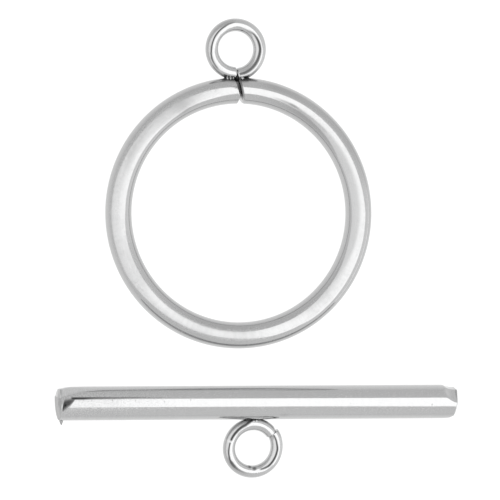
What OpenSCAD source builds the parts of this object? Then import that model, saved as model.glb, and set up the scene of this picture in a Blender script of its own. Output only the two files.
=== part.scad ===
// Toggle clasp of bright stainless steel wire: a ring and a bar, each with its own small loop.
// Both halves lie side by side on a flat surface, with the ring behind and the bar in front.
// Lengths are in millimetres and angles in degrees. +X runs along the bar, +Y from the bar
// to the ring, and +Z up. The origin is on the surface, at the middle of the whole clasp.

/* [Ring] */
// Thickness of the round wire that the ring is bent from
ring_wire_d = 1.5; // [1.2:0.05:2]
// Clear width inside the ring
ring_bore_d = 12.84; // [10:0.02:16]
// Clear distance between the wire's ends at the inside of the ring
ring_cut_mouth_w = 0.24; // [0.1:0.02:0.3]
// Width of the same cut where it ends under the weld
ring_cut_root_w = 0.06; // [0.04:0.01:0.1]
// Lean of the cut away from the ring's radius
ring_cut_lean = 16; // [0:1:25]
// Thickness of wire outside the cut that the weld has closed
ring_cut_web = 0.16; // [0.1:0.02:0.4]

/* [Loop of the ring] */
// Clear width of the loop's hole
ring_loop_bore_d = 2.09; // [1.6:0.01:3]
// Thickness of the loop's round wire
ring_loop_wire_d = 0.73; // [0.6:0.01:1]
// Depth that the weld has sunk the loop into the ring
ring_loop_sink = 0.1; // [0.06:0.01:0.2]
// Place of the loop along X, from the middle of the ring
ring_loop_shift = -0.18; // [-0.4:0.02:0.4]
// Length of the weld bead between the loop and the ring
ring_weld_len = 1.46; // [1:0.02:2]
// Thickness of that bead
ring_weld_d = 0.42; // [0.3:0.02:0.6]

/* [Bar] */
// Thickness of the bar
bar_d = 1.95; // [1.5:0.01:2.5]
// Length of the bar from tip to tip
bar_len = 23.86; // [18:0.02:30]
// Lean of the left end face, seen from above
bar_skew = 7.5; // [0:0.5:15]
// Direction in which the cutter rolled the edges over, up from +Y
bar_roll_lean = 40; // [20:1:70]
// Length of the rolled edge at the left end
bar_roll_left_len = 1.7; // [0.8:0.1:3]
// Depth of the rolled edge at the left end
bar_roll_left_depth = 0.2; // [0.1:0.02:0.4]
// Length of the rolled edge at the right end
bar_roll_right_len = 0.95; // [0.5:0.05:2]
// Depth of the rolled edge at the right end
bar_roll_right_depth = 0.26; // [0.1:0.02:0.4]
// Reach of the burr that stands out of the left end, past the bar's side
bar_burr_reach = 0.34; // [0.1:0.02:0.5]
// Width of that burr along the bar
bar_burr_w = 0.36; // [0.2:0.02:0.6]
// Thickness of that burr
bar_burr_t = 0.2; // [0.1:0.02:0.4]

/* [Loop of the bar] */
// Clear width of the loop's hole
bar_loop_bore_d = 2.1; // [1.6:0.01:3]
// Thickness of the loop's round wire
bar_loop_wire_d = 0.69; // [0.6:0.01:1]
// Depth that the weld has sunk the loop into the bar
bar_loop_sink = 0.04; // [0.03:0.01:0.2]
// Place of the loop along X, from the middle of the bar
bar_loop_shift = -0.18; // [-2:0.01:2]
// Length of the weld bead between the loop and the bar
bar_weld_len = 0.64; // [0.4:0.02:1.2]
// Thickness of that bead
bar_weld_d = 0.3; // [0.2:0.02:0.5]

/* [Layout] */
// Free distance between the ring and the bar as they lie
halves_gap = 2.19; // [0.5:0.02:8]
// Place of the ring's middle along X, from the middle of the bar
ring_shift = -1.04; // [-4:0.02:4]

/* [Hidden] */
// Number of straight steps in a full circle of the preview
$fn = 96;
// Spare length by which a cutting block passes the metal that it trims
spare = 1;

// Distance from the ring's middle to its outer side, and height of its wire's middle
ring_reach = ring_bore_d / 2 + ring_wire_d;
ring_mid_z = ring_wire_d / 2;

// Outer widths of the loops
ring_loop_d = ring_loop_bore_d + 2 * ring_loop_wire_d;
bar_loop_d = bar_loop_bore_d + 2 * bar_loop_wire_d;

// The bar lies rolled a little about its own length, until its loop's far side meets the surface
bar_r = bar_d / 2;
bar_loop_mid = bar_r - bar_loop_sink + bar_loop_d / 2;
bar_loop_far = bar_loop_mid + (bar_loop_bore_d + bar_loop_wire_d) / 2;
bar_lie = asin((bar_r - bar_loop_wire_d / 2) / bar_loop_far);
bar_loop_reach = bar_loop_far * cos(bar_lie) + bar_loop_wire_d / 2;

// Places along Y that centre the whole clasp on the origin
clasp_len = bar_loop_reach + bar_r + halves_gap + 2 * ring_reach + ring_loop_d - ring_loop_sink;
bar_y = bar_loop_reach - clasp_len / 2;
ring_y = bar_y + bar_r + halves_gap + ring_reach;
ring_loop_y = ring_reach - ring_loop_sink + ring_loop_d / 2;

// A whole turn of round wire
module wire_turn(bore_d, wire_d) {
  rotate_extrude() translate([(bore_d + wire_d) / 2, 0]) circle(d = wire_d);
}

// A drop of weld metal along X, thick in the middle and blunt at its ends
module weld_bead(bead_len, bead_d) {
  shoulder = 0.3;
  tip = 0.4;
  rotate([0, 90, 0]) rotate_extrude()
    polygon([
      [0, -bead_len / 2], [bead_d * tip / 2, -bead_len / 2],
      [bead_d / 2, -bead_len * shoulder / 2], [bead_d / 2, bead_len * shoulder / 2],
      [bead_d * tip / 2, bead_len / 2], [0, bead_len / 2]
    ]);
}

// The slanted cut between the two ends of the ring's wire, open towards the ring's inside
module ring_cut() {
  root_y = ring_reach - ring_cut_web;
  run = ring_wire_d + spare;
  widening = (ring_cut_mouth_w - ring_cut_root_w) / ring_wire_d;
  half_root = ring_cut_root_w / 2;
  half_end = half_root + widening * run / 2;
  translate([0, root_y, -spare]) rotate([0, 0, ring_cut_lean])
    linear_extrude(height = ring_wire_d + 2 * spare)
      polygon([[-half_root, 0], [-half_end, -run], [half_end, -run], [half_root, 0]]);
}

module ring_wire() {
  color("silver") difference() {
    translate([0, 0, ring_mid_z]) wire_turn(ring_bore_d, ring_wire_d);
    ring_cut();
  }
}

module ring_loop() {
  color("gainsboro") translate([ring_loop_shift, ring_loop_y, ring_mid_z])
    wire_turn(ring_loop_bore_d, ring_loop_wire_d);
}

module ring_weld() {
  color("dimgray") translate([ring_loop_shift, ring_reach - ring_loop_sink / 2, ring_mid_z])
    weld_bead(ring_weld_len, ring_weld_d);
}

// The ring half of the clasp, welded into one
module toggle_ring() {
  translate([ring_shift, ring_y, 0]) {
    ring_wire();
    ring_loop();
    ring_weld();
  }
}

// The bar seen from above, with its left end face leaning towards +X in front
module bar_plan() {
  slope = tan(bar_skew);
  side = bar_r + spare;
  left = -bar_len / 2;
  right = bar_len / 2;
  polygon([
    [left + (bar_r + side) * slope, -side], [right, -side],
    [right, side], [left + (bar_r - side) * slope, side]
  ]);
}

// The wedge that a rolled edge takes off the bar's left end
module rolled_edge(roll_len, roll_depth) {
  slope = roll_depth / roll_len;
  rotate([bar_roll_lean, 0, 0]) translate([-bar_len / 2, bar_r - roll_depth, 0])
    linear_extrude(height = 2 * (bar_d + spare), center = true)
      polygon([
        [-spare, -spare * slope], [roll_len + spare, (roll_len + spare) * slope],
        [roll_len + spare, bar_d], [-spare, bar_d]
      ]);
}

// The sharp flake that the cutter pulled out at the front corner of the left end
module bar_burr() {
  seat = bar_burr_reach / 2;
  inner_x = -bar_len / 2 + 2 * bar_r * tan(bar_skew);
  translate([inner_x, -bar_r, -bar_burr_t / 2]) linear_extrude(height = bar_burr_t)
    polygon([
      [0, seat], [bar_burr_w / 2, -bar_burr_reach], [bar_burr_w, seat]
    ]);
}

module bar_rod() {
  color("silver") union() {
    difference() {
      intersection() {
        rotate([0, 90, 0]) cylinder(h = bar_len + 2 * spare, d = bar_d, center = true);
        linear_extrude(height = bar_d + 2 * spare, center = true) bar_plan();
      }
      rolled_edge(bar_roll_left_len, bar_roll_left_depth);
      mirror([1, 0, 0]) rolled_edge(bar_roll_right_len, bar_roll_right_depth);
    }
    bar_burr();
  }
}

module bar_loop() {
  color("gainsboro") translate([bar_loop_shift, -bar_loop_mid, 0])
    wire_turn(bar_loop_bore_d, bar_loop_wire_d);
}

module bar_weld() {
  color("dimgray") translate([bar_loop_shift, -bar_r + bar_loop_sink / 2, 0])
    weld_bead(bar_weld_len, bar_weld_d);
}

// The bar half of the clasp, welded into one
module toggle_bar() {
  translate([0, bar_y, bar_r]) {
    bar_rod();
    rotate([bar_lie, 0, 0]) {
      bar_loop();
      bar_weld();
    }
  }
}

toggle_ring();
toggle_bar();
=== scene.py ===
"""A bright steel toggle clasp that lies on a pale table, seen from above and a little from the left.

The clasp has two loose halves, a ring and a bar, each bent or cut from round wire and welded to
a small loop. Every surface is worked out with numpy as whole arrays in millimetres, in the frame
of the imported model, and goes into its mesh in metres. The driving sizes are the fields of the
classes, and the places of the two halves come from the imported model's boxes.
"""

import logging
from collections import defaultdict
from collections.abc import Sequence
from dataclasses import dataclass, replace
from enum import Enum
from typing import Any

import bpy
import numpy as np
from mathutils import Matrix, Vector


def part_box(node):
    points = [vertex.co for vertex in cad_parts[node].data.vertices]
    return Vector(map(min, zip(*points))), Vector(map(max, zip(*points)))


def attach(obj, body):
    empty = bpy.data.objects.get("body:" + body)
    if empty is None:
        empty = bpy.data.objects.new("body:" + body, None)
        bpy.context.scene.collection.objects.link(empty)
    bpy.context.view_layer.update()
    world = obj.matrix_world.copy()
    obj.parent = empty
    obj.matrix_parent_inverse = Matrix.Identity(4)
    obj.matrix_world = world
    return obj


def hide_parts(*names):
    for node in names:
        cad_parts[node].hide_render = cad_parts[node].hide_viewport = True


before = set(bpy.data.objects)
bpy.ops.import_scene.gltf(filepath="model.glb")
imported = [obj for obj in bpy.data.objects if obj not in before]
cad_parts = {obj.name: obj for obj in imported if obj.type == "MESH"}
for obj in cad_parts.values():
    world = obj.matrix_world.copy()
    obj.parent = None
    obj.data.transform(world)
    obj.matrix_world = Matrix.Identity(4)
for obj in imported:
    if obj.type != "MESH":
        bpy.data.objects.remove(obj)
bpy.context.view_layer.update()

LOG = logging.getLogger("toggle_clasp")

# One millimetre in metres, and a full turn in radians
MM = 0.001
TURN = 2.0 * np.pi

# Rows of points on the rounded rim of an end face, and on the face itself
RIM_ROWS = 7
FACE_ROWS = 7

# Names of the attributes and of the UV map that the finishes read
# The soot attribute holds weld burn and painted shade: dark reflections and shaded faces painted into the
# colour
SOOT_AND_SHADE = "soot"
WEAR = "wear"
UV_NAME = "along_and_round"


class Half(Enum):
    """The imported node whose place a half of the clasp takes."""

    RING = "toggle_ring"
    BAR = "toggle_bar"


def wrapped(degrees: np.ndarray) -> np.ndarray:
    """Brings angles into the range from -180 to 180 degrees."""
    return (degrees + 180.0) % 360.0 - 180.0


def angles_round(cols: int) -> np.ndarray:
    """Spreads even angles round a wire, in radians from straight outwards, as one row."""
    return np.linspace(0.0, TURN, cols, endpoint=False)[None, :]


def lean_of(angle: np.ndarray) -> np.ndarray:
    """Turns an angle from straight outwards into a lean from straight up, in degrees."""
    return wrapped(90.0 - np.degrees(angle))


def blank_grid(along: np.ndarray, lean: np.ndarray) -> np.ndarray:
    """Gives a zero for each point of the grid that two arrays span."""
    return np.zeros(np.broadcast(along, lean).shape)


@dataclass(frozen=True)
class Spot:
    """A round or oval patch on a wire, shaped like a bell.

    Attributes:
        along: Its middle along the wire, in the wire's own unit.
        lean: Its middle round the wire, in degrees from straight up towards the outside.
        length: Half length along the wire.
        spread: Half width round the wire, in degrees.
        amount: Depth in millimetres for a dent, or else darkness or dullness from 0 to 1.
        rim: Sharpness of its rim: 1 is a soft bell, and more is a flat patch with a firm rim.
    """

    along: float
    lean: float
    length: float
    spread: float
    amount: float
    rim: float = 1.0

    def at(self, along: np.ndarray, lean: np.ndarray) -> np.ndarray:
        """Works out the patch on a grid, as the exponential of minus a power of the distance.

        Args:
            along: Place of each point along the wire.
            lean: Lean of each point from straight up, in degrees.

        Returns:
            The amount at each point.
        """
        far = ((along - self.along) / self.length) ** 2 + (wrapped(lean - self.lean) / self.spread) ** 2
        return self.amount * np.exp(-(far**self.rim))


@dataclass(frozen=True)
class Stroke:
    """A dark line or dull band that follows the wire, with a paler veil at one side.

    Attributes:
        along: Places along the wire, in its own unit, in rising order.
        lean: Lean of the line from straight up towards the outside at each, in degrees.
        width: Half width of the line at each of them, in degrees round the wire.
        depth: Darkness or dullness at each of them, from 0 to 1.
        veil: The same for the veil beside the line.
        veil_width: Width of the veil in degrees, positive where it lies on the outer side.
    """

    along: Sequence[float]
    lean: Sequence[float]
    width: Sequence[float]
    depth: Sequence[float]
    veil: float = 0.0
    veil_width: float = 60.0

    def at(self, along: np.ndarray, lean: np.ndarray) -> np.ndarray:
        """Works out the line as a flat-topped bell across it, and the veil as half of a wider one.

        Args:
            along: Place of each point along the wire.
            lean: Lean of each point from straight up, in degrees.

        Returns:
            The amount at each point, from 0 to 1.
        """
        off = wrapped(lean - np.interp(along, self.along, self.lean))
        width = np.interp(along, self.along, self.width)
        depth = np.interp(along, self.along, self.depth, left=0.0, right=0.0)
        line = depth * np.exp(-((off / width) ** 4))
        beside = off * np.sign(self.veil_width) > 0
        here = np.clip(depth / max(self.depth), 0.0, 1.0)
        veil = self.veil * here * beside * np.exp(-((off / self.veil_width) ** 4))
        return np.maximum(line, veil)


@dataclass(frozen=True)
class Marks:
    """Everything that a wire's surface carries besides its shape.

    Attributes:
        dents: Press marks, with their depths in millimetres.
        dark: Dark patches and lines: weld burn, painted shade and painted dark reflections.
        dull: Patches and bands that are scratched dull.
    """

    dents: tuple[Spot, ...] = ()
    dark: tuple[Spot | Stroke, ...] = ()
    dull: tuple[Spot | Stroke, ...] = ()

    def depth(self, along: np.ndarray, lean: np.ndarray) -> np.ndarray:
        """Adds up the dents at each point, in millimetres."""
        return sum((dent.at(along, lean) for dent in self.dents), blank_grid(along, lean))

    def soot(self, along: np.ndarray, lean: np.ndarray) -> np.ndarray:
        """Takes the darkest of the dark marks at each point."""
        return self._most(self.dark, along, lean)

    def wear(self, along: np.ndarray, lean: np.ndarray) -> np.ndarray:
        """Takes the dullest of the dull marks at each point."""
        return self._most(self.dull, along, lean)

    def _most(self, marks: tuple[Spot | Stroke, ...], along: np.ndarray, lean: np.ndarray) -> np.ndarray:
        """Takes the largest amount among some marks at each point.

        Args:
            marks: The marks to choose from.
            along: Place of each point along the wire.
            lean: Lean of each point from straight up, in degrees.

        Returns:
            The amount at each point, from 0 to 1.
        """
        most = blank_grid(along, lean)
        for mark in marks:
            most = np.maximum(most, mark.at(along, lean))
        return np.clip(most, 0.0, 1.0)


@dataclass(frozen=True)
class CutEnd:
    """One end face of a wire: a nearly flat face with a rounded rim.

    Attributes:
        place: Place of the face on the wire's centreline, in the wire's own unit.
        slope_out: Slope of the face, along the wire per millimetre outwards.
        slope_up: Slope of the face, along the wire per millimetre upwards.
        rim: Radius of the rounded rim, in millimetres.
        rim_soot: Painted shade on that rim, from 0 to 1.
        worn: Splay of the face's inner side, along the wire per millimetre inwards.
        worn_from: Distance inwards from the wire's middle at which that splay starts.
        step_out: Sideways step of the wire at this end, in millimetres.
        reach: Share of the wire over which the step fades.
        soot: Darkness of the face, painted shade with burn where a weld is near, from 0 to 1.
    """

    place: float
    slope_out: float = 0.0
    slope_up: float = 0.0
    rim: float = 0.05
    rim_soot: float = 0.0
    worn: float = 0.0
    worn_from: float = 0.37
    step_out: float = 0.0
    reach: float = 0.1
    soot: float = 0.0

    def slide(self, out: np.ndarray, up: np.ndarray) -> np.ndarray:
        """Adds up how far the two slopes and the splay move each point along the wire."""
        inner = np.clip(-out - self.worn_from, 0.0, None)
        return self.slope_out * out + self.slope_up * up + self.worn * inner


@dataclass(frozen=True)
class RowPlan:
    """The rows of a capped wire: the face of one end, its rim, the wire, and the other end.

    Attributes:
        blend: Share of the way from the start to the end, for each row.
        inset: Distance that the rim takes off the radius, in millimetres.
        share: Share of that radius on an end face, from 0 at its middle to 1.
        back: Distance of the row from its end face towards the wire, signed along the wire.
        soot: Least darkness of the row, which the end faces bring.
    """

    blend: np.ndarray
    inset: np.ndarray
    share: np.ndarray
    back: np.ndarray
    soot: np.ndarray

    @classmethod
    def between(cls, start: CutEnd, end: CutEnd, rows: int, crowd: float = 0.0) -> "RowPlan":
        """Plans the rows between two ends.

        Args:
            start: First end of the wire.
            end: Last end of the wire.
            rows: Number of rows on the wire itself.
            crowd: Share by which the rows crowd towards the two ends, from 0 to 1.

        Returns:
            The rows in order from the middle of one end face to the middle of the other.
        """
        bend = np.linspace(0.0, np.pi / 2, RIM_ROWS + 1)[1:]
        fill = np.linspace(1.0, 0.0, FACE_ROWS + 2)[1:-1]
        darkening = np.concatenate([np.linspace(0.0, 1.0, RIM_ROWS) ** 4, np.ones(FACE_ROWS)])
        even = np.linspace(0.0, 1.0, rows)
        wire = (1 - crowd) * even + crowd * (0.5 - 0.5 * np.cos(np.pi * even))
        ends = []
        for face in (start, end):
            inset = np.concatenate([face.rim * (1 - np.cos(bend)), np.full(FACE_ROWS, face.rim)])
            back = np.concatenate([face.rim * (1 - np.sin(bend)), np.zeros(FACE_ROWS)])
            ends.append((inset, back, np.maximum(face.soot * darkening, face.rim_soot)))
        (inset_a, back_a, soot_a), (inset_b, back_b, soot_b) = ends
        share = np.concatenate([np.ones(RIM_ROWS), fill])
        return cls(
            blend=np.concatenate([np.zeros(share.size), wire, np.ones(share.size)]),
            inset=np.concatenate([inset_a[::-1], np.zeros(rows), inset_b]),
            share=np.concatenate([share[::-1], np.ones(rows), share]),
            back=np.concatenate([back_a[::-1], (1 - wire) * start.rim - wire * end.rim, -back_b]),
            soot=np.concatenate([soot_a[::-1], np.zeros(rows), soot_b]),
        )


@dataclass
class Skin:
    """A closed surface as a grid of points, with what its finish reads at each point.

    Attributes:
        points: Points in millimetres, rows along the wire and columns round it.
        soot: Darkness at each point from weld burn and painted shade, from 0 to 1.
        wear: Dullness at each point, from 0 to 1.
        along: Length along the wire at each point, in millimetres.
    """

    points: np.ndarray
    soot: np.ndarray
    wear: np.ndarray
    along: np.ndarray

    def turned(self) -> "Skin":
        """Runs the columns the other way round, which turns the faces over."""
        return Skin(*(grid[:, ::-1] for grid in (self.points, self.soot, self.wear, self.along)))

    def moved(self, by: Sequence[float]) -> "Skin":
        """Moves the surface by a distance in millimetres."""
        return replace(self, points=self.points + np.asarray(by))

    def faces(self) -> tuple[np.ndarray, np.ndarray]:
        """Numbers the corners of the faces: four for each cell, three round each pole.

        Returns:
            The quads and the triangles, as arrays of vertex numbers.
        """
        rows, cols = self.points.shape[:2]
        row = np.arange(rows - 1)[:, None] * cols
        col = np.arange(cols)[None, :]
        beside = (col + 1) % cols
        corners = (row + col, row + beside, row + cols + beside, row + cols + col)
        quads = np.stack(corners, -1).reshape(-1, 4)
        this = np.arange(cols)
        after = (this + 1) % cols
        last = (rows - 1) * cols
        pole = np.full(cols, rows * cols)
        fans = [np.stack([pole, after, this], -1), np.stack([pole + 1, last + this, last + after], -1)]
        return quads, np.concatenate(fans)

    def uv(self, quads: np.ndarray, fans: np.ndarray) -> np.ndarray:
        """Lays a UV map in millimetres: U along the wire, V the length round each row.

        Args:
            quads: Vertex numbers of the quads.
            fans: Vertex numbers of the triangles round the poles.

        Returns:
            The map's two numbers for each corner of each face.
        """
        rows, cols = self.points.shape[:2]
        steps = np.linalg.norm(np.roll(self.points, -1, axis=1) - self.points, axis=2)
        around = np.concatenate([np.zeros((rows, 1)), np.cumsum(steps, axis=1)], axis=1)
        along = np.concatenate([self.along, self.along[:, :1]], axis=1)
        row, col = np.divmod(quads, cols)
        at_seam = (np.arange(len(quads)) % cols) == cols - 1
        col = np.where(at_seam[:, None] & (col == 0), cols, col)
        on_quads = np.stack([along[row, col], around[row, col]], -1).reshape(-1, 2)
        return np.concatenate([on_quads, np.zeros((fans.size, 2))])


def link_object(name: str, data: bpy.types.ID) -> bpy.types.Object:
    """Links a new object of some data to the scene, at the origin.

    Args:
        name: Name of the object.
        data: Its mesh or its camera.

    Returns:
        The new object.
    """
    made = bpy.data.objects.new(name, data)
    bpy.context.scene.collection.objects.link(made)
    return made


def make_piece(name: str, skins: Sequence[Skin], material: bpy.types.Material) -> bpy.types.Object:
    """Joins surfaces in one smooth mesh object with the darkness of weld burn and painted shade, the wear
    and a UV map.

    Args:
        name: Name of the object.
        skins: Closed surfaces of the piece.
        material: Finish of the whole piece.

    Returns:
        The new object, at the origin and linked to the scene.
    """
    parts: dict[str, list[np.ndarray]] = defaultdict(list)
    first = 0
    for skin in skins:
        quads, fans = skin.faces()
        for label, grid in (("points", skin.points), (SOOT_AND_SHADE, skin.soot), (WEAR, skin.wear)):
            poles = np.stack([grid[0].mean(0), grid[-1].mean(0)])
            parts[label].append(np.concatenate([grid.reshape(-1, *grid.shape[2:]), poles]))
        uv = skin.uv(quads, fans)
        parts["uv_quads"].append(uv[: quads.size])
        parts["uv_fans"].append(uv[quads.size :])
        parts["quads"].append(quads + first)
        parts["fans"].append(fans + first)
        first += len(parts["points"][-1])
    whole = {label: np.concatenate(arrays) for label, arrays in parts.items()}
    mesh = bpy.data.meshes.new(name)
    corners = whole["quads"].tolist() + whole["fans"].tolist()
    mesh.from_pydata((whole["points"] * MM).tolist(), [], corners)
    for label in (SOOT_AND_SHADE, WEAR):
        layer = mesh.attributes.new(label, "FLOAT", "POINT")
        layer.data.foreach_set("value", whole[label].astype(np.float32))
    flat_uv = np.concatenate([whole["uv_quads"], whole["uv_fans"]]).astype(np.float32).ravel()
    mesh.uv_layers.new(name=UV_NAME).data.foreach_set("uv", flat_uv)
    mesh.polygons.foreach_set("use_smooth", np.ones(len(mesh.polygons), bool))
    mesh.materials.append(material)
    mesh.update()
    return link_object(name, mesh)


@dataclass(frozen=True)
class WireTurn:
    """Round wire bent to a circle that is open at a cut.

    Attributes:
        radius: Radius of the centreline, in millimetres.
        wire_r: Radius of the wire, in millimetres.
        start: First end face, with its place as an angle in degrees.
        end: Last end face, with its place as an angle in degrees, further round.
        rows: Number of rows along the wire.
        cols: Number of points round the wire.
        marks: What its surface carries, with places in degrees.
        soot_edge: Shares of the wire's radius outwards, between which the painted shade and burn of an
            end set in.
    """

    radius: float
    wire_r: float
    start: CutEnd
    end: CutEnd
    rows: int
    cols: int
    marks: Marks
    soot_edge: tuple[float, float] = (-0.7, -0.2)

    def skin(self) -> Skin:
        """Sweeps a circle round a circle.

        A point lies at the centreline plus the wire's radius times the cosine of its angle
        outwards plus the sine of its angle upwards. Towards an end the sweep is sheared, so
        that the last rows lie in the face of the cut, and it steps sideways by a bell.

        Returns:
            The surface, round the middle of the circle and the height of the wire's middle.
        """
        plan = RowPlan.between(self.start, self.end, self.rows)
        angle = angles_round(self.cols)
        lean = lean_of(angle)
        blend = plan.blend[:, None]
        rough_turn = (1 - blend) * self.start.place + blend * self.end.place
        depth = self.marks.depth(rough_turn, lean)
        radius = (self.wire_r - depth - plan.inset[:, None]) * plan.share[:, None]
        out = radius * np.cos(angle)
        up = radius * np.sin(angle)
        slide = (1 - blend) * self.start.slide(out, up) + blend * self.end.slide(out, up)
        slide = slide + plan.back[:, None]
        turn = np.radians(rough_turn) + slide / (self.radius + out)
        near = np.exp(-((blend / self.start.reach) ** 2))
        far = np.exp(-(((1 - blend) / self.end.reach) ** 2))
        reach = self.radius + out + self.start.step_out * near + self.end.step_out * far
        points = np.stack([reach * np.cos(turn), reach * np.sin(turn), up], -1)
        along = np.degrees(turn)
        # Painted shade and weld burn on the end faces: none at the wire's inner side, full on its outer
        # part
        end_burn_and_shade = plan.soot[:, None] * np.interp(out / self.wire_r, self.soot_edge, (0.0, 1.0))
        soot = np.maximum(self.marks.soot(along, lean), end_burn_and_shade)
        return Skin(points, soot, self.marks.wear(along, lean), turn * self.radius)


@dataclass(frozen=True)
class Bead:
    """A drop of weld metal: an oval ball with ripples across it.

    Attributes:
        middle: Its middle, in millimetres from the half's own middle.
        half: Its half sizes along X, Y and Z, in millimetres.
        ripples: Number of ripples along X.
        swell: Height of a ripple, as a share of the half sizes.
        soot: Darkness in the hollows between the ripples.
        bright: Darkness that is left on the ripples.
        bow: Lag of the ripples at the bead's top, in radians of their wave.
        wear: Dullness of the bead.
    """

    middle: tuple[float, float, float]
    half: tuple[float, float, float]
    ripples: float = 0.0
    swell: float = 0.0
    soot: float = 0.9
    bright: float = 0.9
    bow: float = 0.6
    wear: float = 0.5

    def skin(self, rows: int = 40, cols: int = 36) -> Skin:
        """Works out the ball.

        A point lies at the cosine of its latitude along X and the sine of it round X, times
        the half sizes, and the latter grows and shrinks with a cosine wave along X.

        Args:
            rows: Number of rows along X.
            cols: Number of points round X.

        Returns:
            The surface, round the half's own middle.
        """
        tilt = np.linspace(0.0, np.pi, rows + 2)[1:-1, None]
        angle = angles_round(cols)
        wave = np.cos(np.pi * self.ripples * np.cos(tilt) + self.bow * np.sin(angle))
        girth = np.sin(tilt) * (1.0 + self.swell * wave)
        ball = [-np.cos(tilt) * np.ones_like(angle), girth * np.cos(angle), girth * np.sin(angle)]
        points = np.stack(ball, -1) * np.asarray(self.half) + np.asarray(self.middle)
        dark = self.bright + (self.soot - self.bright) * (0.5 - 0.5 * wave)
        return Skin(points, dark, np.full_like(dark, self.wear), points[..., 0]).turned()


class Nodes:
    """A short way to add and join the nodes of one material or world."""

    def __init__(self, owner: bpy.types.Material | bpy.types.World) -> None:
        """Gives the owner an empty node tree.

        Args:
            owner: Material or world to fill.
        """
        owner.use_nodes = True
        self.tree = owner.node_tree
        self.tree.nodes.clear()

    def add(self, kind: str, settings: dict[str, Any] | None = None, **sockets: Any) -> bpy.types.Node:
        """Adds a node.

        Args:
            kind: Blender's name of the node's type.
            settings: Values of the node's own settings.
            **sockets: A value or another node's socket for each input, with _ for a space, or
                _ and a number for an input without a name of its own.

        Returns:
            The new node.
        """
        node = self.tree.nodes.new(kind)
        for key, value in (settings or {}).items():
            setattr(node, key, value)
        for key, value in sockets.items():
            socket = node.inputs[int(key[1:]) if key[1:].isdigit() else key.replace("_", " ")]
            if isinstance(value, bpy.types.NodeSocket):
                self.tree.links.new(value, socket)
            else:
                socket.default_value = value
        return node

    def math(self, operation: str, *values: Any) -> bpy.types.NodeSocket:
        """Adds a sum or another operation on numbers and returns its result."""
        sockets = {f"_{place}": value for place, value in enumerate(values)}
        return self.add("ShaderNodeMath", {"operation": operation}, **sockets).outputs[0]

    def between(
        self,
        value: bpy.types.NodeSocket,
        read: tuple[float, float],
        result: tuple[float, float] = (0.0, 1.0),
        soft: bool = False,
    ) -> bpy.types.NodeSocket:
        """Adds a clamped map from one range to another.

        Args:
            value: Socket to map.
            read: Start and end of the range that is read.
            result: Results at its start and at its end.
            soft: Whether the map eases in and out.

        Returns:
            The socket of the result.
        """
        settings = {"interpolation_type": "SMOOTHSTEP" if soft else "LINEAR"}
        sockets = dict(zip(("From_Min", "From_Max", "To_Min", "To_Max"), (*read, *result)))
        return self.add("ShaderNodeMapRange", settings, Value=value, **sockets).outputs[0]

    def noise(
        self,
        at: bpy.types.NodeSocket,
        scale: float,
        detail: float = 2.0,
        stretch: tuple[float, float, float] | None = None,
    ) -> bpy.types.NodeSocket:
        """Adds a noise texture.

        Args:
            at: Coordinates that it is read at.
            scale: Number of its waves in one unit of them.
            detail: Number of finer noises in it.
            stretch: Factor on each axis, where there is one.

        Returns:
            The socket of its strength, from 0 to 1.
        """
        if stretch is not None:
            at = self.add("ShaderNodeMapping", Vector=at, Scale=stretch).outputs[0]
        return self.add("ShaderNodeTexNoise", Vector=at, Scale=scale, Detail=detail).outputs["Fac"]


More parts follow.
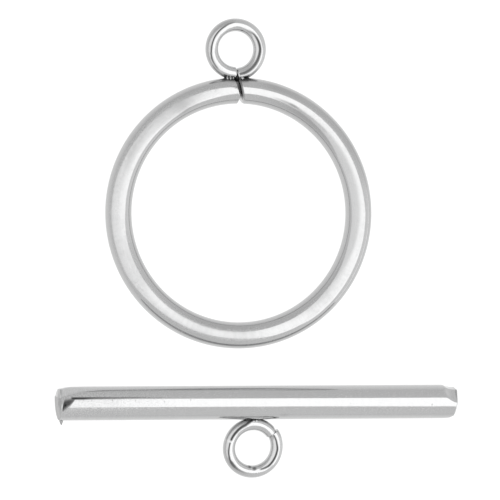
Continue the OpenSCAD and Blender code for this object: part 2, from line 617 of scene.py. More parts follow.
@dataclass(frozen=True)
class BrightSteel:
    """Tumbled stainless steel: near mirror patches among satin ones, with scratches, weld burn and
    painted shade.

    Attributes:
        name: Name of the material.
        tone: Share of light that the clean metal mirrors back.
        soot_tone: Share that the full darkness of weld burn and painted shade leaves.
        polish: Roughness of the mirror patches.
        satin: Roughness of the satin patches.
        soot_rough: Roughness that the full darkness of weld burn and painted shade adds.
        haze: Share of the surface that is satin where the wear is 0.
        worn_haze: Share of the surface that is satin where the wear is 1.
        streak: Strength of the faint streaks round the wire.
        pit: Darkness of the small pits.
        relief: Depth of the unevenness that tumbling leaves, in millimetres.
    """

    name: str
    tone: float = 0.5
    soot_tone: float = 0.01
    polish: float = 0.07
    satin: float = 0.5
    soot_rough: float = 0.3
    haze: float = 0.03
    worn_haze: float = 0.97
    streak: float = 0.05
    pit: float = 0.3
    relief: float = 0.004

    def material(self) -> bpy.types.Material:
        """Builds the node material on the piece's UV map, object coordinates and attributes.

        A point is satin where a fine grain is over a limit that falls with the wear and with
        slow clouds, and else polished. Weld burn and painted shade, streaks round the wire, hairs and
        pits darken the metal, the burn and painted shade roughen it, and clouds, hairs and pits make its
        relief.

        Returns:
            The new material.
        """
        made = bpy.data.materials.new(self.name)
        nodes = Nodes(made)
        # Painted shade: this attribute darkens the colour where dark reflections and shade are painted,
        # as well as at the weld's burn
        soot = nodes.add("ShaderNodeAttribute", {"attribute_name": SOOT_AND_SHADE}).outputs["Fac"]
        wear = nodes.add("ShaderNodeAttribute", {"attribute_name": WEAR}).outputs["Fac"]
        place = nodes.add("ShaderNodeTexCoord").outputs["Object"]
        lay = nodes.add("ShaderNodeUVMap", {"uv_map": UV_NAME}).outputs["UV"]
        streaks = nodes.noise(lay, scale=1.0, detail=3.0, stretch=(5.0, 0.45, 1.0))
        hairs = nodes.noise(lay, scale=1.0, stretch=(30.0, 2.5, 1.0))
        clouds = nodes.noise(place, scale=700.0, detail=3.0)
        grain = nodes.noise(place, scale=30000.0, detail=1.0)
        pits = self._pits(nodes, place)
        cover = nodes.between(wear, (0.0, 1.0), (self.haze, self.worn_haze))
        cover = nodes.math("ADD", cover, nodes.between(clouds, (0.3, 0.7), (-0.12, 0.12)))
        limit = nodes.between(cover, (0.0, 1.0), (0.68, 0.32))
        satin = nodes.between(nodes.math("SUBTRACT", grain, limit), (-0.05, 0.05))
        rough = nodes.math("MULTIPLY_ADD", satin, self.satin - self.polish, self.polish)
        rough = nodes.math("MULTIPLY_ADD", soot, self.soot_rough, rough)
        strength = nodes.between(wear, (0.0, 1.0), (0.4 * self.streak, 2.0 * self.streak))
        shade = nodes.math("MULTIPLY", nodes.between(streaks, (0.35, 0.65)), strength)
        shade = nodes.math("MULTIPLY_ADD", nodes.between(hairs, (0.62, 0.75)), self.streak, shade)
        spots = nodes.math("MAXIMUM", soot, nodes.math("MULTIPLY", pits, self.pit))
        shade = nodes.math("MAXIMUM", shade, spots)
        clean = (self.tone * 0.998, self.tone, self.tone * 1.003, 1.0)
        dark = (self.soot_tone, self.soot_tone, self.soot_tone, 1.0)
        mix = nodes.add("ShaderNodeMix", {"data_type": "RGBA"}, _0=shade, _6=clean, _7=dark)
        relief = nodes.math("MULTIPLY_ADD", hairs, 0.12, clouds)
        relief = nodes.math("MULTIPLY_ADD", pits, -0.6, relief)
        bump = nodes.add("ShaderNodeBump", Strength=1.0, Distance=self.relief * MM, Height=relief)
        looks = {"Base_Color": mix.outputs[2], "Roughness": rough, "Normal": bump.outputs[0]}
        shader = nodes.add("ShaderNodeBsdfPrincipled", Metallic=1.0, **looks)
        nodes.add("ShaderNodeOutputMaterial", Surface=shader.outputs[0])
        return made

    def _pits(self, nodes: Nodes, place: bpy.types.NodeSocket) -> bpy.types.NodeSocket:
        """Scatters a few small pits: the cores of random cells where a slow noise is high.

        Args:
            nodes: Nodes of the material.
            place: Object coordinates.

        Returns:
            The socket of the pits, from 0 to 1.
        """
        cells = nodes.add("ShaderNodeTexVoronoi", Vector=place, Scale=2200.0).outputs["Distance"]
        cores = nodes.between(cells, (0.0, 0.16), (1.0, 0.0))
        chosen = nodes.between(nodes.noise(place, scale=1300.0), (0.64, 0.68))
        return nodes.math("MULTIPLY", cores, chosen)


@dataclass(frozen=True)
class Loop:
    """Sizes of a small closed loop that is welded on thicker wire, in millimetres.

    Attributes:
        wire_d: Thickness of its wire.
        bore_d: Width of its hole.
        sink: Depth that it is sunk into the thicker wire.
        shift: Place along X, from the middle of its half.
    """

    wire_d: float
    bore_d: float
    sink: float
    shift: float

    @property
    def radius(self) -> float:
        """Gives the radius of its centreline."""
        return (self.bore_d + self.wire_d) / 2

    def stand(self, side: float) -> float:
        """Works out how far its middle stands out, from the place of the side that it is sunk into."""
        return side - self.sink + self.bore_d / 2 + self.wire_d

    def skin(self, start: CutEnd, end: CutEnd, marks: Marks) -> Skin:
        """Bends its wire round its own middle, between two end faces that meet."""
        return WireTurn(self.radius, self.wire_d / 2, start, end, rows=420, cols=56, marks=marks).skin()


@dataclass
class RingHalf:
    """The ring of the clasp, with its loop and the weld between them.

    Attributes:
        steel: Finish of the ring and of the weld.
        loop_steel: Finish of the loop.
        wire_d: Thickness of the ring's wire, in millimetres.
        gap_left: Distance of the left end face from the ring's middle line, in millimetres.
        gap_right: The same for the right end face.
        loop: Sizes of the loop.
    """

    steel: bpy.types.Material
    loop_steel: bpy.types.Material
    wire_d: float = 1.54
    gap_left: float = 0.16
    gap_right: float = -0.005
    loop: Loop = Loop(wire_d=0.755, bore_d=2.085, sink=0.15, shift=-0.195)

    def build(self) -> list[bpy.types.Object]:
        """Makes the pieces of this half.

        Returns:
            The ring's wire, the loop's wire and the weld.
        """
        low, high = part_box(Half.RING.value)
        reach = (high.x - low.x) / 2 / MM
        middle = ((high.x + low.x) / 2 / MM, low.y / MM + reach, self.wire_d / 2)
        loop_middle = (middle[0] + self.loop.shift, middle[1] + self.loop.stand(reach), middle[2])
        weld_middle = (middle[0], middle[1] + reach, middle[2])
        weld = [bead.skin().moved(weld_middle) for bead in self._beads()]
        return [
            make_piece("ring_wire", [self._wire(reach).moved(middle)], self.steel),
            make_piece("ring_loop_wire", [self._loop().moved(loop_middle)], self.loop_steel),
            make_piece("ring_weld", weld, self.steel),
        ]

    def _wire(self, reach: float) -> Skin:
        """Bends the ring's wire, open at a cut that slants under the loop.

        Args:
            reach: Radius of the ring's outer side.

        Returns:
            The surface of the wire, round the ring's middle.
        """
        wire_r = self.wire_d / 2
        radius = reach - wire_r
        left_place = 90.0 + np.degrees(self.gap_left / radius)
        right_place = 450.0 - np.degrees(self.gap_right / radius)
        # Painted shade: the end faces in the narrow cut are dark and the right one's rim grey, with burn
        # from the weld above
        left = CutEnd(left_place, slope_out=0.25, rim=0.035, soot=0.94, worn=0.45)
        right = CutEnd(right_place, slope_out=0.2, rim=0.16, rim_soot=0.62, soot=0.94, worn=-0.06)
        return WireTurn(radius, wire_r, left, right, rows=1200, cols=72, marks=self._marks()).skin()

    def _marks(self) -> Marks:
        """Lists the scratched bands, the painted shade of the grey veils and of the kink, and the weld's
        burn with a painted dark reflection of the loop beside it, on the ring's wire.

        Returns:
            The marks, with places in degrees round the ring.
        """
        dull_left = Stroke(
            along=(98, 102, 112, 120, 128, 140, 155, 170, 190, 205, 215, 226, 232),
            lean=(8, 8, 8, 8, 10, 12, 14, 15, 15, 15, 12, 5, 2),
            width=(20, 22, 24, 28, 30, 32, 34, 35, 35, 32, 30, 30, 30),
            depth=(0.0, 0.35, 0.6, 0.95, 0.7, 0.5, 0.45, 0.35, 0.35, 0.45, 0.55, 0.4, 0.4),
        )
        dull_below = Stroke(
            along=(230, 240, 255, 270, 277, 285, 300, 306),
            lean=(2, 0, 0, 0, 0, 0, 0, -2),
            width=(30, 30, 30, 30, 30, 30, 28, 25),
            depth=(0.45, 0.5, 0.58, 0.7, 0.45, 0.12, 0.3, 0.35),
        )
        dull_right = Stroke(
            along=(304, 315, 330, 345, 360, 375, 390, 405, 420, 423),
            lean=(-2, -4, -6, -6, -6, -6, -6, -6, -6, -6),
            width=(25, 24, 24, 24, 24, 24, 22, 20, 18, 18),
            depth=(0.45, 0.6, 0.4, 0.35, 0.35, 0.3, 0.3, 0.3, 0.25, 0.0),
        )
        # Painted shade: a grey veil that dims the reflected light on the inner side at the right
        veil_right = Stroke(
            along=(312, 330, 345, 360, 375, 390, 405, 414, 420, 427, 440),
            lean=(-28, -30, -26, -23, -22, -26, -29, -29, -28, -28, -28),
            width=(6, 10, 18, 23, 22, 20, 18, 18, 18, 18, 18),
            depth=(0.0, 0.17, 0.16, 0.15, 0.15, 0.2, 0.22, 0.22, 0.2, 0.1, 0.0),
        )
        # Painted shade: a dark edge to the reflected light band at the right
        edge_right = Stroke(
            along=(398, 405, 414, 420, 423, 425, 426.5, 430, 434, 437),
            lean=(-19, -18, -18, -16, -12.5, -12, -12.5, -13, -14, -15),
            width=(7, 7, 7, 6.5, 6, 6, 6, 6, 6, 6),
            depth=(0.0, 0.3, 0.36, 0.42, 0.58, 0.55, 0.42, 0.32, 0.12, 0.0),
        )
        # Painted shade: a grey veil on the outer side at the right
        veil_outer = Stroke(
            along=(368, 378, 390, 405, 420, 435, 444), lean=(34, 34, 34, 33, 32, 36, 38),
            width=(15, 16, 17, 16, 15, 17, 17), depth=(0.0, 0.12, 0.2, 0.18, 0.15, 0.17, 0.0),
        )
        # Painted shade: a grey veil on the inner side below
        veil_inner = Stroke(
            along=(186, 198, 225, 252, 272, 285), lean=(-36, -36, -36, -32, -34, -36),
            width=(14, 14, 15, 17, 14, 14), depth=(0.0, 0.11, 0.13, 0.17, 0.1, 0.0),
        )
        # Painted shade: a grey veil over the reflected light band at the left
        veil_left = Stroke(
            along=(98, 108, 119, 128, 140, 152, 165, 180, 198, 212, 222),
            lean=(6, 4, -5, -2, 6, 10, 5, -2, -6, -4, -4),
            width=(18, 20, 33, 28, 22, 18, 14, 14, 14, 16, 12),
            depth=(0.0, 0.08, 0.21, 0.15, 0.16, 0.17, 0.06, 0.05, 0.12, 0.15, 0.0),
        )
        # Painted shade: the top edge of the reflected band bends down beside the cut
        kink_shade = Stroke(
            along=(91.0, 91.5, 92.5, 93.5, 95), lean=(9, 10, 12.5, 14, 17), width=(9, 8, 5, 3, 2),
            depth=(0.55, 0.55, 0.5, 0.4, 0.0),
        )
        # Weld burn beside the loop, running out on each side into a painted dark reflection of the loop
        weld_left = Stroke(
            along=(90, 93, 96, 97.2, 98.2, 99.8), lean=(65, 68, 73, 60, 52, 54),
            width=(27, 27, 25, 14, 5, 2), depth=(1.0, 1.0, 0.95, 0.8, 0.5, 0.0),
        )
        weld_right = Stroke(
            along=(441.0, 443.5, 445.8, 447, 450), lean=(58, 53, 64, 67, 65), width=(2, 4, 14, 25, 27),
            depth=(0.0, 0.45, 0.85, 1.0, 1.0),
        )
        veils = (veil_left, veil_right, edge_right, veil_outer, veil_inner)
        dull = (dull_left, dull_below, dull_right)
        return Marks(dark=(*veils, kink_shade, weld_left, weld_right), dull=dull)

    def _loop(self) -> Skin:
        """Bends the loop's wire, with its seam over the weld.

        Returns:
            The surface of the wire, round the loop's middle.
        """
        start = CutEnd(place=-87.1, rim=0.1, step_out=0.05, reach=0.12)
        end = CutEnd(place=271.2, rim=0.1, step_out=-0.01, reach=0.12)
        # Painted dark reflection: a dark line along the loop's left side, with a paler painted shade veil
        # beside it
        left_line = Stroke(
            along=(92, 98, 120, 142, 165, 180, 200, 222, 232),
            lean=(22, 19, 10, 8, 10, 14, 26, 28, 30),
            width=(4, 6, 9, 9, 8, 8, 8, 7, 3),
            depth=(0, 0.6, 0.86, 0.9, 0.92, 0.93, 0.92, 0.7, 0),
            veil=0.14,
            veil_width=70.0,
        )
        # Painted dark reflection: a dark line along the loop's right side, with a paler painted shade
        # veil beside it
        right_line = Stroke(
            along=(-84, -70, -45, -20, 0, 20, 40, 54, 66),
            lean=(0, -1, -5, -7, -6, -10, -14, -22, -30),
            width=(14, 17, 18, 15, 13, 12, 10, 12, 8),
            depth=(0.82, 0.86, 0.84, 0.88, 0.94, 0.93, 0.78, 0.4, 0),
            veil=0.06,
            veil_width=-70.0,
        )
        weld_soot = tuple(
            Spot(along=place, lean=75, length=26, spread=38, amount=0.95, rim=3.0)
            for place in (-92, 268)
        )
        return self.loop.skin(start, end, Marks(dark=(left_line, right_line, *weld_soot)))

    def _beads(self) -> tuple[Bead, ...]:
        """Lists the drops of weld metal, round the outermost point of the ring."""
        return (
            Bead((-0.58, -0.1, 0.12), (0.32, 0.2, 0.25), ripples=3.5, swell=0.16, soot=0.98, bright=0.1),
            Bead((-0.17, -0.02, 0.08), (0.24, 0.22, 0.26), ripples=1.5, swell=0.1, soot=1.0, bright=0.95),
            Bead((0.12, -0.12, 0.12), (0.28, 0.19, 0.25), ripples=1.7, swell=0.14, soot=0.98, bright=0.0),
            Bead((-0.18, -0.06, -0.05), (0.72, 0.2, 0.22), ripples=3.0, swell=0.05, soot=0.9, bright=0.8),
        )


@dataclass(frozen=True)
class Facet:
    """A flat facet that the cutter pressed on one end of the bar.

    Attributes:
        lean: Side that it faces, in degrees from straight up towards +Y.
        depth: Depth of the facet at the end face, in millimetres.
        length: Distance from the end face at which it starts, in millimetres.
        power: How much faster it deepens near the end face; 1 is a plane.
        early: How much faster it deepens where it starts; 1 is a plane.
        blend: Width over which it runs into the round, in millimetres.
    """

    lean: float
    depth: float
    length: float
    power: float = 1.0
    early: float = 1.0
    blend: float = 0.02

    def cut(self, radius: np.ndarray, from_end: np.ndarray, lean: np.ndarray, bar_r: float) -> np.ndarray:
        """Limits the radius by the facet's level over the cosine, with a soft minimum of the two.

        Args:
            radius: Radius of each point so far, in millimetres.
            from_end: Distance of each point from the end face, in millimetres.
            lean: Lean of each point from straight up towards +Y, in degrees.
            bar_r: Radius of the whole bar.

        Returns:
            The radius at each point, in millimetres.
        """
        least_cos, widest_gap = 0.05, 40.0
        way = np.clip((self.length - from_end) / self.length, -1.0, 1.0)
        way = np.where(way > 0.0, 1.0 - (1.0 - way) ** self.early, way)
        level = bar_r - self.depth * np.sign(way) * np.abs(way) ** self.power
        flat = level / np.maximum(np.cos(np.radians(lean - self.lean)), least_cos)
        gap = np.clip((flat - radius) / self.blend, -widest_gap, widest_gap)
        return radius - self.blend * np.log1p(np.exp(-gap))


@dataclass
class BarHalf:
    """The bar of the clasp, with its loop and the weld between them.

    Attributes:
        steel: Finish of the bar.
        loop_steel: Finish of the loop.
        over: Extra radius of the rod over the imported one, in millimetres.
        inset_left: Distance of the left face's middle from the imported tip, in millimetres.
        inset_right: The same for the right face.
        turn: Turn of the rod as it lies, seen from above, in degrees.
        skew: Lean of the left end face, seen from above, in degrees.
        fade: Distance from an end face at which its slopes have died out, in millimetres.
        loop: Sizes of the loop.
    """

    steel: bpy.types.Material
    loop_steel: bpy.types.Material
    over: float = 0.018
    inset_left: float = 0.15
    inset_right: float = 0.085
    turn: float = -0.03
    skew: float = 3.3
    fade: float = 1.5
    loop: Loop = Loop(wire_d=0.725, bore_d=2.1, sink=0.075, shift=-0.18)

    def build(self) -> list[bpy.types.Object]:
        """Makes the pieces of this half.

        Returns:
            The rod, the burr, the loop's wire and the weld.
        """
        low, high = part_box(Half.BAR.value)
        bar_r = high.z / MM / 2
        middle = (0.0, high.y / MM - bar_r, bar_r)
        rod_middle = (0.0, middle[1] + self.over, middle[2] + self.over)
        half_len = (high.x - low.x) / MM / 2
        rod = self._rod(bar_r + self.over, half_len).moved(rod_middle)
        weld = [self._laid(bead.skin(), bar_r).moved(middle) for bead in self._beads(bar_r)]
        return [
            make_piece("bar_rod", [rod], self.steel),
            make_piece("bar_burr", [self._burr(bar_r, half_len).moved(middle)], self.steel),
            make_piece("bar_loop_wire", [self._loop(bar_r).moved(middle)], self.loop_steel),
            make_piece("bar_weld", weld, self.loop_steel),
        ]

    def _rod(self, bar_r: float, half_len: float) -> Skin:
        """Sweeps a circle along X from one end face to the other, less the facets of each end.

        Args:
            bar_r: Radius of the rod.
            half_len: Half of its length from tip to tip.

        Returns:
            The surface, round the bar's own middle.
        """
        slope = np.tan(np.radians(self.skew))
        # Painted shade: the end faces are darkened where they turn from the light
        left = CutEnd(-half_len + self.inset_left, slope_out=-slope, slope_up=0.03, rim=0.03, soot=0.5)
        right = CutEnd(half_len - self.inset_right, slope_out=0.16, rim=0.09, soot=0.3)
        left_facets = (
            Facet(lean=58.0, depth=0.2, length=1.7, power=1.6),
            Facet(lean=88.0, depth=0.2, length=1.0, power=2.0),
            Facet(lean=88.0, depth=0.6, length=0.16, power=1.5),
        )
        right_facets = (
            Facet(lean=80.0, depth=0.235, length=0.7, early=2.4),
            Facet(lean=42.0, depth=0.27, length=0.71, early=1.35, blend=0.012),
            Facet(lean=-88.0, depth=0.12, length=0.3, power=2.0),
        )
        die_flat = Spot(along=0.0, lean=40.0, length=1000.0, spread=22.0, amount=0.004)
        scuff = Spot(along=-12.0, lean=0.0, length=5.5, spread=60.0, amount=0.6)
        marks = Marks(dents=(die_flat,), dark=self._shade_and_stains(), dull=(scuff,))
        plan = RowPlan.between(left, right, rows=620, crowd=0.8)
        angle = angles_round(cols=112)
        lean = lean_of(angle)
        blend = plan.blend[:, None]
        x = (1 - blend) * left.place + blend * right.place
        radius = bar_r - marks.depth(x, lean)
        for facet in left_facets:
            radius = facet.cut(radius, x - left.place, lean, bar_r)
        for facet in right_facets:
            radius = facet.cut(radius, right.place - x, lean, bar_r)
        radius = (radius - plan.inset[:, None]) * plan.share[:, None]
        out = radius * np.cos(angle)
        up = radius * np.sin(angle)
        near_left = np.clip(1.0 - (x - left.place) / self.fade, 0.0, 1.0) ** 2
        near_right = np.clip(1.0 - (right.place - x) / self.fade, 0.0, 1.0) ** 2
        slide = near_left * left.slide(out, up) + near_right * right.slide(out, up)
        x = x + slide + plan.back[:, None]
        points = np.stack([x, out + x * np.tan(np.radians(self.turn)), up], -1)
        soot = np.maximum(marks.soot(x, lean), plan.soot[:, None])
        return Skin(points, soot, marks.wear(x, lean), x).turned()

    def _shade_and_stains(self) -> tuple[Spot | Stroke, ...]:
        """Lists the dark marks of the rod, with places in millimetres along X: mostly painted dark
        reflections and painted shade, with a few small stains.

        Returns:
            The left end's corner, a painted dark reflection with some oxide, with its painted shade
            and its core, the painted dark reflection of a line behind it, the ticks beside that line,
            the small grey patches, and the darker edges and facet at the ends.
        """
        # Painted dark reflection with some oxide: the dark patch on the rounded corner of the left end
        corner = Stroke(
            along=(-11.67, -11.6, -11.56, -11.4, -11.21, -11.1, -10.95),
            lean=(-15.5, -7.5, -2.5, 1.5, 6.5, 10, 15),
            width=(9, 17, 19, 16.5, 12.5, 8.5, 2.5),
            depth=(0.9, 0.92, 0.93, 0.9, 0.87, 0.8, 0.7),
        )
        # Painted shade: dims the reflected light band beside that corner
        shade = Stroke(
            along=(-11.8, -11.7, -11.5, -11.2, -11.05),
            lean=(5.5, 6.5, 9.5, 13.5, 14.5),
            width=(13, 12, 9.5, 6, 4),
            depth=(0.42, 0.45, 0.45, 0.45, 0.4),
        )
        # Black core of that patch: oxide within the painted dark reflection
        core = Spot(along=-11.5, lean=-4.5, length=0.12, spread=8.0, amount=0.99, rim=2.0)
        # Painted dark reflection: a thin dark line along the top edge of the reflected light band
        line = Stroke(
            along=(-11.15, -11.0, -10.4, -9.9, -8.5, -7.0, -5.0),
            lean=(19.0, 18.8, 19.0, 19.5, 19.5, 20.0, 20.0),
            width=(4.5, 4.5, 4.2, 3.6, 3.2, 2.6, 2.0),
            depth=(0.9, 0.97, 0.96, 0.85, 0.72, 0.55, 0.0),
        )
        tick_leans = {
            -10.45: 13, -9.95: 11.5, -8.75: 11.5, -7.4: 10, -5.7: 6, -4.15: 12, -3.95: 12,
        }
        ticks = tuple(
            Spot(along=along, lean=lean, length=0.02, spread=3.5, amount=0.45, rim=2.0)
            for along, lean in tick_leans.items()
        )
        speck = Spot(along=10.27, lean=-9.0, length=0.03, spread=3.0, amount=0.6, rim=2.0)
        cloud = Spot(along=1.49, lean=-47.0, length=0.25, spread=9.0, amount=0.13)
        # Darker at the rolled edge of each end and on the right end's facet
        right_rim_dark = Spot(along=11.88, lean=38.0, length=0.13, spread=34.0, amount=0.3, rim=3.0)
        left_rim_dark = Spot(along=-11.9, lean=75.0, length=0.3, spread=55.0, amount=0.42, rim=3.0)
        right_facet_dark = Spot(along=11.45, lean=80.0, length=0.42, spread=24.0, amount=0.2, rim=3.0)
        return (corner, shade, core, line, *ticks, speck, cloud, right_rim_dark, left_rim_dark, right_facet_dark)

    def _burr(self, bar_r: float, half_len: float) -> Skin:
        """Draws the sharp flake at the front corner of the left end.

        It is a horn: an oval across X and Z that shrinks along a line towards -Y to a point.

        Args:
            bar_r: Radius of the bar.
            half_len: Half of its length from tip to tip.

        Returns:
            The surface, round the bar's own middle.
        """
        seat, reach, from_tip, drop = 0.12, 0.26, 0.35, 0.02
        half_x, half_z, blunt_at = 0.16, 0.1, 0.985
        root_soot, tip_soot, wear = 0.3, 0.55, 0.3
        way = np.linspace(0.0, blunt_at, 40)[:, None]
        angle = angles_round(cols=32)
        slim = (1.0 - way) ** 0.8
        x = -half_len + from_tip + half_x * slim * np.cos(angle)
        y = -bar_r + seat - (seat + reach) * way + blank_grid(way, angle)
        z = half_z * slim * np.sin(angle) - drop
        soot = root_soot + (tip_soot - root_soot) * way + blank_grid(way, angle)
        return Skin(np.stack([x, y, z], -1), soot, np.full_like(x, wear), y)

    def _laid(self, skin: Skin, bar_r: float) -> Skin:
        """Rolls a surface down round the bar's axis, until the loop's far side meets the table.

        The sine of that roll is the height that the far side has to sink over its distance.

        Args:
            skin: Surface round the bar's own middle.
            bar_r: Radius of the bar.

        Returns:
            The surface as it lies.
        """
        far = self.loop.stand(bar_r) + self.loop.radius
        lie = np.arcsin((bar_r - self.loop.wire_d / 2) / far)
        x, y, z = np.moveaxis(skin.points, -1, 0)
        down = y * np.cos(lie) - z * np.sin(lie)
        up = y * np.sin(lie) + z * np.cos(lie)
        return replace(skin, points=np.stack([x, down, up], -1))

    def _loop(self, bar_r: float) -> Skin:
        """Bends the loop's wire, with its butt seam at the right, and lays it down.

        Args:
            bar_r: Radius of the bar.

        Returns:
            The surface of the wire, round the bar's own middle.
        """
        start = CutEnd(place=37.2, rim=0.02, step_out=-0.01, reach=0.08)
        end = CutEnd(place=397.0, rim=0.02, step_out=0.06, reach=0.08)
        # Painted dark reflection: a dark line along the loop's left side, with a paler painted shade veil
        # beside it
        left_line = Stroke(
            along=(92, 100, 110, 137, 158, 163, 166, 180, 205, 212, 222, 235, 262),
            lean=(60, 36, 18, 10, 9, 8, 9, 12, 21, 20, 18, 15, 13),
            width=(18, 18, 16, 14, 12, 9, 8, 8, 9, 16, 16, 10, 5),
            depth=(0.9, 0.9, 0.9, 0.95, 0.95, 0.0, 0.9, 0.92, 0.88, 0.82, 0.76, 0.5, 0),
            veil=0.14,
            veil_width=70.0,
        )
        # Painted dark reflection: a dark line along the loop's right side, with a paler painted shade
        # veil beside it
        right_line = Stroke(
            along=(285, 292, 312, 335, 360, 372, 392, 396),
            lean=(-20, -18, -8, -7, -3, -8, -10, -10),
            width=(8, 9, 11, 11, 10, 9, 9, 8),
            depth=(0, 0.8, 0.93, 0.95, 0.95, 0.92, 0.8, 0.75),
            veil=0.08,
            veil_width=-70.0,
        )
        dents = (
            Spot(along=260, lean=-60, length=4, spread=20, amount=0.03),
            Spot(along=274, lean=-37, length=4.5, spread=14, amount=0.03),
            Spot(along=37, lean=80, length=6, spread=40, amount=0.07),
        )
        # Painted shade in the two dents at the bottom and beside the seam, and weld burn with a painted
        # dark reflection of the bar near the weld
        shade_and_burn_spots = (
            Spot(along=260, lean=-64, length=5.5, spread=18, amount=0.7, rim=2.0),
            Spot(along=274, lean=-42, length=6, spread=16, amount=0.72, rim=2.0),
            Spot(along=94, lean=72, length=18, spread=28, amount=0.8, rim=2.0),
            Spot(along=68, lean=82, length=9, spread=24, amount=0.8, rim=2.0),
            Spot(along=396, lean=-45, length=4, spread=24, amount=0.35, rim=3.0),
        )
        marks = Marks(dents=dents, dark=(*shade_and_burn_spots, left_line, right_line))
        middle = (self.loop.shift, -self.loop.stand(bar_r), 0.0)
        return self._laid(self.loop.skin(start, end, marks).moved(middle), bar_r)

    def _beads(self, bar_r: float) -> tuple[Bead, ...]:
        """Lists the drops of weld metal between the loop and the bar, before the bar is laid down."""
        x, y = self.loop.shift, -bar_r
        return (
            Bead((x, y + 0.02, 0.0), (0.32, 0.12, 0.15), soot=0.8, bright=0.5),
            Bead((x - 0.03, y - 0.09, 0.25), (0.1, 0.09, 0.1), soot=0.3, bright=0.0),
            Bead((x + 0.13, y - 0.06, 0.25), (0.08, 0.08, 0.08), soot=0.3, bright=0.0),
        )


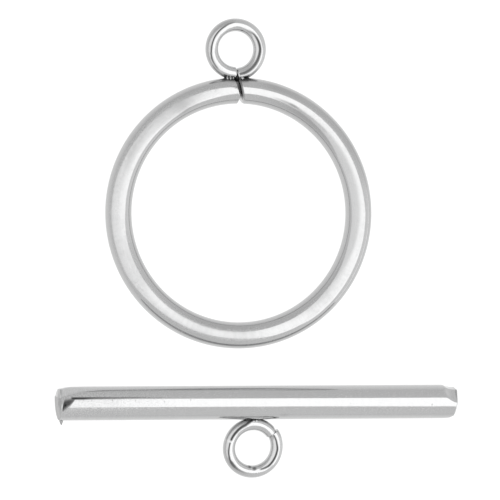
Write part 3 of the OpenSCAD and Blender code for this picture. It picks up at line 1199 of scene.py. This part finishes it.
@dataclass(frozen=True)
class Studio:
    """A pale light table, a soft cloth overhead, a pale room and the camera.

    Attributes:
        camera_lean: Lean of the camera from straight overhead towards the left, in degrees.
        camera_distance: Distance of the lens from the table, in millimetres.
        view_width: Width of the table that the picture takes in, in millimetres.
        look_at: Place on the table that the lens points at, in millimetres.
        sensor: Width of the sensor, in millimetres.
        table_half: Half width of the table, in metres.
        cloth_height: Height of the soft cloth above the table, in metres.
        cloth: Outline of the cloth, counterclockwise from above, as shares of its height.
    """

    camera_lean: float = 11.5
    camera_distance: float = 300.0
    view_width: float = 29.29
    look_at: tuple[float, float] = (-0.223, -0.123)
    sensor: float = 36.0
    table_half: float = 2.5
    cloth_height: float = 0.6
    cloth: tuple[tuple[float, float], ...] = (
        (0.47, -0.85), (0.76, -0.86), (1.2, -1.22), (1.44, -1.04), (1.45, -0.27), (1.28, 0.02),
        (0.77, 0.16), (0.55, 0.33), (0.47, 0.45), (0.34, 0.5), (0.22, 0.57), (0.04, 0.7), (-0.15, 0.7),
        (-0.52, 0.82), (-1.05, 0.82), (-2.5, 0.85), (-3.4, 0.0), (-3.2, -2.1), (-0.61, -0.89),
        (-0.18, -0.71), (0.06, -0.61), (0.18, -0.49), (0.24, -0.49), (0.3, -0.63),
    )

    def build(self) -> None:
        """Makes the camera, the table, the cloth and the room."""
        self._camera()
        half = self.table_half
        square = ((-half, -half), (half, -half), (half, half), (-half, half))
        self._sheet("table", square, 0.0, self._pale())
        outline = tuple((x * self.cloth_height, y * self.cloth_height) for x, y in self.cloth)
        self._sheet("cloth", outline, self.cloth_height, self._glow())
        self._room()
        bpy.context.scene.view_settings.view_transform = "Standard"

    def _camera(self) -> None:
        """Hangs the camera over the clasp with +Y up in the picture."""
        lean = np.radians(self.camera_lean)
        data = bpy.data.cameras.new("camera")
        data.sensor_width = self.sensor
        data.lens = self.sensor * self.camera_distance / self.view_width
        data.clip_start = 0.001
        data.clip_end = 10.0
        camera = link_object("camera", data)
        x = self.look_at[0] - self.camera_distance * np.sin(lean)
        camera.location = (x * MM, self.look_at[1] * MM, self.camera_distance * np.cos(lean) * MM)
        camera.rotation_euler = (0.0, -lean, 0.0)
        bpy.context.scene.camera = camera

    def _sheet(
        self,
        name: str,
        outline: Sequence[tuple[float, float]],
        height: float,
        material: bpy.types.Material,
    ) -> None:
        """Lays one level sheet that belongs to the studio.

        Args:
            name: Name of the sheet.
            outline: Its corners, counterclockwise from above, in metres.
            height: Its height above the table, in metres.
            material: Its finish.
        """
        mesh = bpy.data.meshes.new(name)
        mesh.from_pydata([(x, y, height) for x, y in outline], [], [tuple(range(len(outline)))])
        mesh.materials.append(material)
        link_object(name, mesh)

    def _pale(self) -> bpy.types.Material:
        """Builds the table's finish.

        It glows, less where it is seen at a low angle, and more in an oval pool that lies 75 mm
        to the right of the middle and 11 mm in front of it.

        Returns:
            The new material.
        """
        light, graze_loss, pool_light = 0.99, 0.45, 0.9
        pool_place, pool_scale = (-1.2, 0.4, 0.0), (16.0, 35.0, 1.0)
        grey, white = (0.04, 0.04, 0.04, 1.0), (1.0, 1.0, 1.0, 1.0)
        made = bpy.data.materials.new("light_table")
        nodes = Nodes(made)
        graze = nodes.add("ShaderNodeLayerWeight", Blend=0.5).outputs["Facing"]
        strength = nodes.math("MULTIPLY_ADD", nodes.math("POWER", graze, 3.0), -graze_loss, light)
        place = nodes.add("ShaderNodeTexCoord").outputs["Object"]
        pool = nodes.add("ShaderNodeMapping", Vector=place, Location=pool_place, Scale=pool_scale)
        far = nodes.add("ShaderNodeVectorMath", {"operation": "LENGTH"}, Vector=pool.outputs[0])
        more = nodes.between(far.outputs["Value"], (0.8, 1.0), (pool_light, 0.0), soft=True)
        strength = nodes.math("ADD", strength, more)
        glow = {"Emission_Color": white, "Emission_Strength": strength}
        shader = nodes.add("ShaderNodeBsdfPrincipled", Base_Color=grey, Roughness=0.42, **glow)
        nodes.add("ShaderNodeOutputMaterial", Surface=shader.outputs[0])
        return made

    def _glow(self) -> bpy.types.Material:
        """Builds the cloth's light, which grows slowly from the left and then faster over the clasp.

        Returns:
            The new material.
        """
        made = bpy.data.materials.new("soft_cloth")
        nodes = Nodes(made)
        place = nodes.add("ShaderNodeTexCoord").outputs["Object"]
        across = nodes.add("ShaderNodeSeparateXYZ", Vector=place).outputs["X"]
        across = nodes.math("DIVIDE", across, self.cloth_height)
        slow = nodes.between(across, (-3.2, -0.3), (1.28, 1.6))
        fast = nodes.between(across, (-0.35, 0.25), (0.0, 0.35), soft=True)
        strength = nodes.math("ADD", slow, fast)
        shader = nodes.add("ShaderNodeEmission", Color=(1.0, 1.0, 1.0, 1.0), Strength=strength)
        nodes.add("ShaderNodeOutputMaterial", Surface=shader.outputs[0])
        return made

    def _room(self) -> None:
        """Gives the room a pale grey: a base plus a share of X, of Y and of X squared."""
        base, by_x, by_y, by_x_squared = 0.865, 0.1, -0.065, 0.185
        world = bpy.data.worlds.new("room")
        bpy.context.scene.world = world
        nodes = Nodes(world)
        way = nodes.add("ShaderNodeTexCoord").outputs["Generated"]
        split = nodes.add("ShaderNodeSeparateXYZ", Vector=way)
        x, y = split.outputs["X"], split.outputs["Y"]
        strength = nodes.math("MULTIPLY_ADD", x, by_x, base)
        strength = nodes.math("MULTIPLY_ADD", y, by_y, strength)
        strength = nodes.math("MULTIPLY_ADD", nodes.math("MULTIPLY", x, x), by_x_squared, strength)
        light = nodes.add("ShaderNodeBackground", Color=(1.0, 1.0, 1.0, 1.0), Strength=strength)
        nodes.add("ShaderNodeOutputWorld", Surface=light.outputs[0])


def seat(pieces: list[bpy.types.Object], half: Half) -> None:
    """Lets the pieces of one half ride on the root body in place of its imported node.

    Args:
        pieces: Pieces of the half.
        half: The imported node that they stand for.
    """
    for piece in pieces:
        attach(piece, "root")
        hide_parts(half.value)
        LOG.info("%s: %d faces", piece.name, len(piece.data.polygons))


def main() -> None:
    """Builds the studio and the two halves of the clasp."""
    logging.basicConfig(level=logging.INFO, format="%(name)s: %(message)s")
    Studio().build()
    ring_steel = BrightSteel("tumbled_steel")
    bar_steel = BrightSteel("drawn_steel", tone=0.52, haze=0.02)
    loop_steel = BrightSteel("loop_steel", tone=0.53, haze=0.04)
    bar_loop_steel = replace(loop_steel, name="bar_loop_steel")
    seat(RingHalf(ring_steel.material(), loop_steel.material()).build(), Half.RING)
    seat(BarHalf(bar_steel.material(), bar_loop_steel.material()).build(), Half.BAR)


if __name__ == "__main__":
    main()
